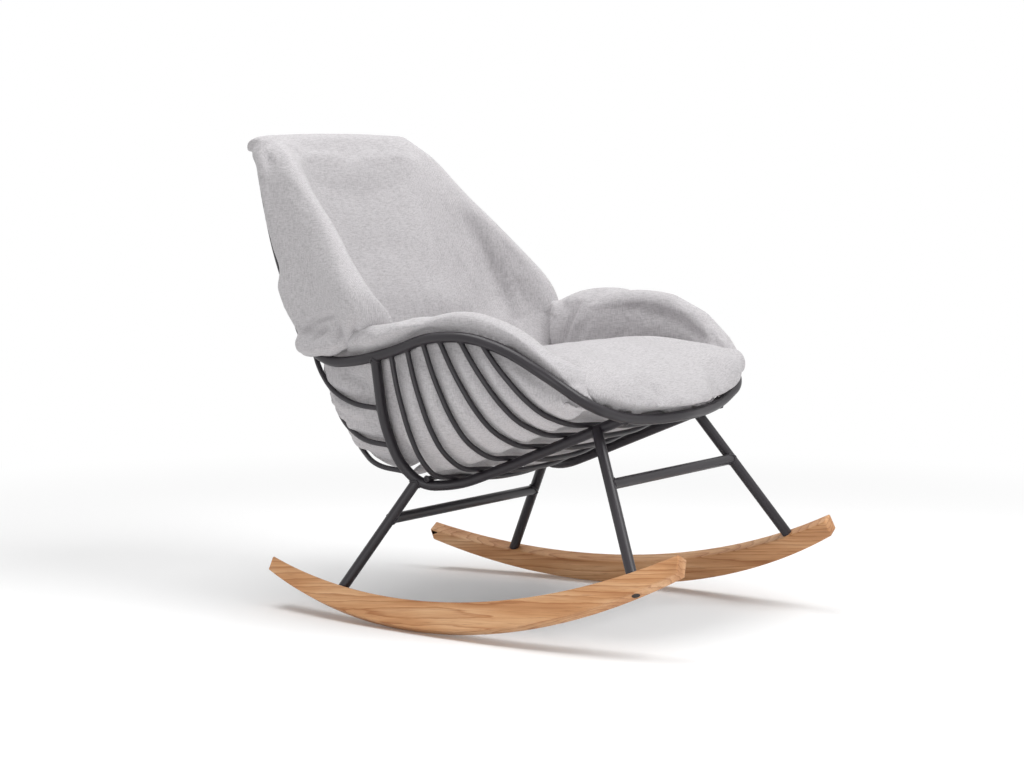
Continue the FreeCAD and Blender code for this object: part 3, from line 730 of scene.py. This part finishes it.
@dataclass
class Undercarriage:
    """The rockers and what bolts the legs to them."""

    def build(self) -> None:
        """Dresses the rockers and their fixings."""
        steel, board = SteelFrame(), SteelFrame(crease_deg=9.0)
        for side in Side:
            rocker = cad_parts["rocker_" + side.name.lower()]
            dress(rocker, OiledTeak(side=side).build())
            board.smooth(rocker)
        zinc = ZincPlate().build()
        for name in ("leg_inserts", "rocker_bolts", "rocker_washers"):
            dress(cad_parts[name], zinc)
            steel.smooth(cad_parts[name])
        dress(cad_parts["rocker_plugs"], MouldedPlug().build())
        LOG.info("rockers and fixings dressed")


@dataclass(frozen=True)
class Crease:
    """A fold or tuck pressed into a cushion along a line that the photograph shows.

    Pixels are the line's corners in the photograph, depth is how far it is pressed in, or stands out
    if negative, width is half the valley's width, and twin repeats it on the other side."""

    pixels: tuple[tuple[float, float], ...]
    depth: float
    width: float
    twin: bool = True


@dataclass(frozen=True)
class Pull:
    """A soft pull on a cushion: each vertex moves by the vector times a bell curve of its distance
    from the line. Lines and vectors are for the chair's left side, and are mirrored for the right."""

    line: tuple[tuple[float, float, float], ...]
    by: tuple[float, float, float]
    radius: float
    sides: tuple[Side, ...] = (Side.LEFT, Side.RIGHT)

    def moved(self, points: Array) -> Array:
        """The points after the pull."""
        for side in self.sides:
            mirror = np.array((side.value, 1, 1))
            away, _ = line_distance(points, np.array(self.line) * MM * mirror)
            share = np.exp(-(away / (self.radius * MM)) ** 2)
            points = points + share[:, None] * np.array(self.by) * MM * mirror
        return points


@dataclass(frozen=True)
class Stuffing:
    """A roll of filling joined to a cushion before it is remeshed: balls set close along a line, whose
    radius runs evenly from one corner of the line to the next. Mirrored as a pull is."""

    line: tuple[tuple[float, float, float], ...]
    radii: tuple[float, ...]
    sides: tuple[Side, ...] = (Side.LEFT, Side.RIGHT)
    spacing: float = 5.0
    rows: int = 10
    columns: int = 16

    def balls(self) -> tuple[Array, Array]:
        """Points in metres and faces of four of all the balls: a grid of latitude and longitude on
        each, with the rows at the poles drawn together."""
        corners, radii = np.array(self.line, float), np.array(self.radii, float)
        place = np.concatenate(([0], np.cumsum(np.linalg.norm(np.diff(corners, axis=0), axis=1))))
        even = np.linspace(0, place[-1], max(2, int(place[-1] / self.spacing)))
        centres = np.stack([np.interp(even, place, corners[:, k]) for k in range(3)], 1)
        sizes = np.interp(even, place, radii)
        rise = np.linspace(0, np.pi, self.rows)
        turn = np.linspace(0, 2 * np.pi, self.columns, endpoint=False)
        ball = np.stack((np.sin(rise)[:, None] * np.cos(turn), np.sin(rise)[:, None] * np.sin(turn),
                         np.cos(rise)[:, None] * np.ones(self.columns)), -1).reshape(-1, 3)
        row, column = np.meshgrid(np.arange(self.rows - 1), np.arange(self.columns), indexing="ij")
        after = (column + 1) % self.columns
        quads = np.stack((row * self.columns + column, (row + 1) * self.columns + column,
                          (row + 1) * self.columns + after, row * self.columns + after), -1).reshape(-1, 4)
        points = np.concatenate([(centres * (side.value, 1, 1))[:, None] + sizes[:, None, None] * ball
                                 for side in self.sides])
        numbers = np.arange(len(points)) * len(ball)
        faces = quads[None] + numbers[:, None, None]
        return points.reshape(-1, 3) * MM, faces.reshape(-1, 4)


@dataclass
class Cushion:
    """A sewn cover full of fibre: the plain solid's own shape, remeshed, pressed between the rods,
    swollen as cloth under pressure, and creased."""

    node: str
    piece: str
    bars: tuple[str, ...] = ()
    voxel: float = 5.0
    scrap: int = 900
    slack: float = 3.0
    cap: float = 9.0
    pressure: float = 4.0
    loose: float = 0.02
    quality: int = 5
    cloth_mass: float = 0.3
    stiffness: float = 15.0
    bending: float = 0.5
    bulge: float = 8.0
    taper: tuple[float, float] = (-0.12, 0.25)
    bar_reach: float = 17.0
    bar_range: float = 46.0
    bar_gap: float = 1.0
    fill: float = 0.7
    creases: tuple[Crease, ...] = ()
    pulls: tuple[Pull, ...] = ()
    stuffing: tuple[Stuffing, ...] = ()
    relax: int = 12
    frames: int = 10
    rims: tuple[str, ...] = ()
    rim_radius: float = 10.0
    rim_reach: float = 34.0
    core: tuple[float, float, float] = (0.0, -20.0, 560.0)
    photograph: Photograph = field(default_factory=Photograph)

    def remeshed(self) -> bpy.types.Object:
        """A copy of the plain solid as one even mesh."""
        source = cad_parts[self.node]
        obj = bpy.data.objects.new(self.piece, source.data.copy())
        bpy.context.scene.collection.objects.link(obj)
        work = bmesh.new()
        work.from_mesh(obj.data)
        bmesh.ops.remove_doubles(work, verts=work.verts, dist=1e-5)
        for roll in self.stuffing:
            points, faces = roll.balls()
            extra = bpy.data.meshes.new("roll")
            extra.from_pydata(points.tolist(), [], faces.tolist())
            work.from_mesh(extra)
            bpy.data.meshes.remove(extra)
        work.to_mesh(obj.data)
        work.free()
        remesh = obj.modifiers.new("remesh", "REMESH")
        remesh.mode = "VOXEL"
        remesh.voxel_size = self.voxel * MM
        obj.modifiers.new("whole", "NODES").node_group = self.largest_island()
        relax = obj.modifiers.new("relax", "SMOOTH")
        relax.factor = 0.5
        relax.iterations = self.relax
        self.apply(obj)
        return obj

    def largest_island(self) -> bpy.types.NodeTree:
        """Deletes the scraps that the remesh leaves beside the cushion, which are islands of few
        vertices."""
        tree, entry = geometry_tree("largest_island")
        island = add(tree, "GeometryNodeInputMeshIsland").outputs["Island Index"]
        count = add(tree, "GeometryNodeAccumulateField", {"Value": 1, "Group ID": island}, data_type="INT",
                    domain="POINT").outputs["Total"]
        scrap = add(tree, "FunctionNodeCompare", {"A": count, "B": self.scrap}, data_type="INT",
                    operation="LESS_THAN").outputs[0]
        kept = add(tree, "GeometryNodeDeleteGeometry", {0: entry, 1: scrap}, domain="POINT")
        add(tree, "NodeGroupOutput", {0: kept.outputs[0]})
        return tree

    def apply(self, obj: bpy.types.Object) -> None:
        """Puts the result of an object's modifiers into its mesh."""
        graph = bpy.context.evaluated_depsgraph_get()
        graph.update()
        mesh = bpy.data.meshes.new_from_object(obj.evaluated_get(graph), depsgraph=graph)
        obj.modifiers.clear()
        old = obj.data
        obj.data = mesh
        bpy.data.meshes.remove(old)
        mesh.name = obj.name

    def nearest(self, obj: bpy.types.Object, bars: Sequence[str]) -> tuple[Array, Array]:
        """Nearest point on the bars' surface to each vertex, and the way that the surface faces there.

        Args:
            obj: the cushion.
            bars: names of the bars' nodes.

        Returns:
            Rows of points in metres and rows of unit normals.
        """
        tree, entry = geometry_tree("nearest_bar")
        join = add(tree, "GeometryNodeJoinGeometry")
        for name in bars:
            bar = add(tree, "GeometryNodeObjectInfo", {"Object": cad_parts[name]})
            tree.links.new(bar.outputs["Geometry"], join.inputs[0])
        near = add(tree, "GeometryNodeProximity", {0: join.outputs[0]}, target_element="FACES")
        spot = add(tree, "GeometryNodeStoreNamedAttribute", {"Geometry": entry, "Name": "bar_point",
                                                             "Value": near.outputs["Position"]},
                   data_type="FLOAT_VECTOR", domain="POINT")
        normal = add(tree, "GeometryNodeInputNormal")
        sample = add(tree, "GeometryNodeSampleNearestSurface", {"Mesh": join.outputs[0],
                                                                "Value": normal.outputs[0]},
                     data_type="FLOAT_VECTOR")
        facing = add(tree, "GeometryNodeStoreNamedAttribute", {"Geometry": spot.outputs[0],
                                                               "Name": "bar_normal",
                                                               "Value": sample.outputs[0]},
                     data_type="FLOAT_VECTOR", domain="POINT")
        add(tree, "NodeGroupOutput", {0: facing.outputs[0]})
        modifier = obj.modifiers.new("bars", "NODES")
        modifier.node_group = tree
        graph = bpy.context.evaluated_depsgraph_get()
        graph.update()
        result = obj.evaluated_get(graph).data
        flat = np.empty((2, len(result.vertices) * 3), np.float32)
        result.attributes["bar_point"].data.foreach_get("vector", flat[0])
        result.attributes["bar_normal"].data.foreach_get("vector", flat[1])
        obj.modifiers.remove(modifier)
        bpy.data.node_groups.remove(tree)
        spots, normals = flat.reshape(2, -1, 3).astype(float)
        return spots, normals / np.maximum(np.linalg.norm(normals, axis=1, keepdims=True), 1e-9)

    def press_between_bars(self, obj: bpy.types.Object) -> None:
        """Lets the cloth stand out between the bars: it moves out along its normal by the bulge times
        a smooth step of the distance to the nearest bar, faded out where no bar is near."""
        if not self.bars or not self.bulge:
            return
        spots, _ = self.nearest(obj, self.bars)
        points, normals = mesh_points(obj.data), mesh_normals(obj.data)
        away = np.linalg.norm(spots - points, axis=1)
        toward = ((spots - points) * normals).sum(1) / np.maximum(away, 1e-6)
        facing = smoothstep(-0.2, 0.35, toward)
        rise = smoothstep(self.bar_gap * MM, self.bar_reach * MM, away)
        fade = 1 - smoothstep(self.bar_range * 0.6 * MM, self.bar_range * MM, away)
        set_points(obj.data, points + normals * (self.bulge * MM * rise * fade * facing)[:, None])

    def keep_inside_rim(self, obj: bpy.types.Object) -> None:
        """Keeps the cover on the inner side of the rim: beside a rim tube, a vertex that lies further
        out from the basket's core than the tube's inner face moves in to it, and less so the further
        it is above or below the tube."""
        if not self.rims:
            return
        spots, facing = self.nearest(obj, self.rims)
        points = mesh_points(obj.data)
        centre = spots - facing * self.rim_radius * MM
        out = centre - np.array(self.core) * MM
        out /= np.linalg.norm(out, axis=1, keepdims=True)
        radial = points - centre
        along = (radial * out).sum(1)
        aside = np.linalg.norm(radial - along[:, None] * out, axis=1)
        excess = np.maximum(along + (self.rim_radius + self.bar_gap) * MM, 0)
        share = 1 - smoothstep(self.rim_radius * MM, self.rim_reach * MM, aside)
        set_points(obj.data, points - out * (excess * share)[:, None])

    def swell(self, obj: bpy.types.Object) -> None:
        """Swells the cover as cloth under pressure, with each vertex held within the cap."""
        start = mesh_points(obj.data)
        cloth = obj.modifiers.new("cloth", "CLOTH")
        settings = cloth.settings
        settings.quality = self.quality
        settings.mass = self.cloth_mass
        settings.use_pressure = True
        settings.uniform_pressure_force = self.pressure
        settings.shrink_min = -self.loose
        settings.tension_stiffness = self.stiffness
        settings.compression_stiffness = self.stiffness
        settings.bending_stiffness = self.bending
        settings.effector_weights.gravity = 0
        cloth.collision_settings.use_collision = False
        scene = bpy.context.scene
        cloth.point_cache.frame_start = 1
        cloth.point_cache.frame_end = self.frames
        for number in range(1, self.frames + 1):
            scene.frame_set(number)
        self.apply(obj)
        scene.frame_set(1)
        moved = mesh_points(obj.data) - start
        length = np.linalg.norm(moved, axis=1, keepdims=True)
        cap = self.cap * MM
        kept = moved * (cap * np.tanh(length / cap) / np.maximum(length, 1e-9))
        set_points(obj.data, start + kept)

    def crease_lines(self, obj: bpy.types.Object) -> list[tuple[Crease, Array]]:
        """Finds each crease's line on the cushion, by its rays from the camera.

        Args:
            obj: the cushion.

        Returns:
            Each crease with rows of its points in metres, repeated for its twin.
        """
        work = bmesh.new()
        work.from_mesh(obj.data)
        tree = BVHTree.FromBMesh(work)
        lines = []
        for crease in self.creases:
            hits = [tree.ray_cast(*self.photograph.ray(*pixel))[0] for pixel in crease.pixels]
            line = np.array([tuple(hit) for hit in hits if hit is not None])
            if len(line) < 2:
                LOG.warning("%s: a crease misses at %s", self.piece, crease.pixels[0])
                continue
            lines.append((crease, line))
            if crease.twin:
                lines.append((crease, line * (-1, 1, 1)))
        work.free()
        return lines

    def press_creases(self, obj: bpy.types.Object) -> None:
        """Presses the creases in: each vertex moves in along its normal by the depth times a bell curve
        of its distance from the line, less towards the line's ends."""
        points, normals = mesh_points(obj.data), mesh_normals(obj.data)
        total = np.zeros(len(points))
        for crease, line in self.crease_lines(obj):
            away, share = line_distance(points, line)
            taper = smoothstep(*self.taper, share) * smoothstep(*self.taper, 1 - share)
            total += crease.depth * MM * np.exp(-(away / (crease.width * MM)) ** 2) * taper
        set_points(obj.data, points - normals * total[:, None])

    def shape(self, obj: bpy.types.Object) -> None:
        """Pulls the plain shape to the cushion's own."""
        points = mesh_points(obj.data)
        for pull in self.pulls:
            points = pull.moved(points)
        set_points(obj.data, points)

    def build(self, cloth: bpy.types.Material) -> bpy.types.Object:
        """Makes the cushion.

        Args:
            cloth: the cover's material.

        Returns:
            The finished piece.
        """
        obj = self.remeshed()
        points = mesh_points(obj.data)
        set_points(obj.data, points - mesh_normals(obj.data) * self.slack * MM)
        self.shape(obj)
        self.swell(obj)
        self.press_between_bars(obj)
        self.keep_inside_rim(obj)
        self.press_creases(obj)
        obj.data.polygons.foreach_set("use_smooth", np.ones(len(obj.data.polygons), bool))
        rounder = obj.modifiers.new("rounder", "SUBSURF")
        rounder.levels = rounder.render_levels = 1
        self.apply(obj)
        obj.data.materials.clear()
        dress(obj, cloth)
        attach(obj, "root")
        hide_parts(self.node)
        LOG.info("%s: %d faces", self.piece, len(obj.data.polygons))
        return obj


SEAT_BARS = tuple("seat_rib_%d" % number for number in range(1, 7)) + ("cross_rod",)
HOOP_BARS = ("side_hoop_left", "side_hoop_right")
BACK_BARS = tuple("back_rod_%d_%s" % (number, side) for number in (1, 2, 3) for side in ("left", "right"))
RIM_BARS = ("rim_front_tube", "rim_arm_tube_left", "rim_arm_tube_right")


NEAR, FAR = (Side.RIGHT,), (Side.LEFT,)  # as the photograph shows the chair's sides


@dataclass
class Upholstery:
    """The four cushions: the folds that the photograph shows, the pulls that give the plain solids the
    lie of full covers, and the rolls of filling along their edges."""

    near_arm_folds: tuple[Crease, ...] = (
        Crease(((410, 338), (425, 331), (440, 330)), 4.0, 6.0, False),
        Crease(((572, 350), (584, 362), (598, 374)), 11.0, 7.0, False))
    far_arm_folds: tuple[Crease, ...] = (
        Crease(((583, 296), (572, 318), (562, 346)), 9.0, 6.0, False),
        Crease(((598, 294), (588, 320), (578, 342)), 3.0, 9.0, False))
    back_folds: tuple[Crease, ...] = (
        Crease(((300, 331), (316, 320), (334, 314)), 9.0, 7.0),
        Crease(((333, 318), (339, 334), (349, 353)), 12.0, 7.0),
        Crease(((356, 318), (354, 336), (361, 353)), 9.0, 6.0),
        Crease(((309, 345), (318, 334), (328, 327)), 8.0, 6.0),
        Crease(((247, 149), (252, 158), (259, 170)), 4.0, 7.0),
        Crease(((567, 296), (560, 318), (552, 338)), 7.0, 6.0),
        Crease(((460, 210), (482, 250), (500, 290), (510, 320)), 8.0, 20.0))
    seat_pulls: tuple[Pull, ...] = (
        Pull(((0, -340, 425), (120, -335, 425), (200, -318, 428), (245, -285, 432)), (4, -8, -12), 38),
        Pull(((150, 90, 290), (150, 140, 300)), (28, 12, -14), 55),
        Pull(((120, 60, 285), (170, 60, 290), (190, 90, 300)), (15, 0, -14), 50),
        Pull(((205, -305, 465), (240, -285, 470)), (18, -12, 16), 52, FAR),
        Pull(((235, -270, 450), (245, -230, 460)), (16, -6, 0), 45, NEAR))
    back_pulls: tuple[Pull, ...] = (
        Pull(((262, 330, 510), (258, 350, 535), (252, 372, 569), (247, 395, 620)), (8, 6, 0), 30),
        Pull(((305, 150, 540), (310, 130, 580)), (-32, 0, 0), 42, NEAR),
        Pull(((215, 270, 460), (205, 250, 410), (195, 225, 370)), (16, 24, -12), 45),
        Pull(((80, 190, 335), (170, 170, 335)), (6, -10, -40), 60))
    arm_pulls: tuple[Pull, ...] = (
        Pull(((255, 77, 330), (256, 0, 342), (256, -60, 357), (254, -120, 373), (250, -180, 390),
              (245, -235, 403)), (-42, 0, -30), 32),
        Pull(((290, 95, 590), (300, 20, 600)), (0, 0, -24), 70, NEAR))
    seat_rolls: tuple[Stuffing, ...] = (
        Stuffing(((200, -270, 466), (238, -302, 468)), (28, 26), FAR),)
    back_rolls: tuple[Stuffing, ...] = (
        Stuffing(((256, 338, 546), (251, 372, 588), (249, 390, 630), (248, 399, 658), (245, 419, 707),
                  (242, 436, 755), (239, 448, 803), (236, 457, 842), (231, 466, 870), (222, 472, 890)),
                 (17, 17, 18, 17, 17, 17, 17, 18, 19, 20)),
        Stuffing(((222, 472, 890), (230, 482, 880), (232, 480, 866)), (20, 14, 8)),
        Stuffing(((212, 452, 888), (220, 412, 862), (234, 385, 838)), (24, 22, 18)),
        Stuffing(((262, 330, 520), (270, 300, 520), (277, 262, 524), (284, 228, 534)), (24, 26, 27, 24)),
        Stuffing(((80, 165, 305), (150, 150, 305)), (22, 22)))
    near_arm_rolls: tuple[Stuffing, ...] = (
        Stuffing(((276, 213, 524), (288, 175, 540), (297, 130, 556), (302, 80, 570), (305, 30, 578)),
                 (20, 26, 28, 28, 26), NEAR),)
    far_arm_rolls: tuple[Stuffing, ...] = (
        Stuffing(((272, 70, 580), (272, 5, 582), (272, -40, 590), (272, -88, 594), (272, -128, 592),
                  (272, -160, 587), (270, -228, 557), (266, -280, 516), (262, -312, 478)),
                 (20, 20, 20, 20, 20, 20, 20, 18, 15), FAR),)

    def build(self) -> None:
        """Makes each cushion."""
        cloth = WovenCloth().build()
        Cushion("seat_cushion", "seat_cushion_cover", SEAT_BARS + HOOP_BARS, pulls=self.seat_pulls,
                stuffing=self.seat_rolls, rims=RIM_BARS).build(cloth)
        Cushion("back_cushion", "back_cushion_cover", BACK_BARS + HOOP_BARS, creases=self.back_folds,
                pulls=self.back_pulls, stuffing=self.back_rolls).build(cloth)
        for side in Side:
            name = side.name.lower()
            near = side in NEAR
            Cushion("arm_pad_" + name, "arm_pad_cover_" + name, SEAT_BARS + HOOP_BARS,
                    creases=self.near_arm_folds if near else self.far_arm_folds, pulls=self.arm_pulls,
                    stuffing=self.near_arm_rolls if near else self.far_arm_rolls,
                    rims=RIM_BARS).build(cloth)


def main() -> None:
    """Builds the scene in order."""
    logging.basicConfig(level=logging.INFO, format="%(message)s")
    Photograph().build()
    Studio().build()
    SteelFrame().build()
    Undercarriage().build()
    Upholstery().build()


if __name__ == "__main__":
    main()
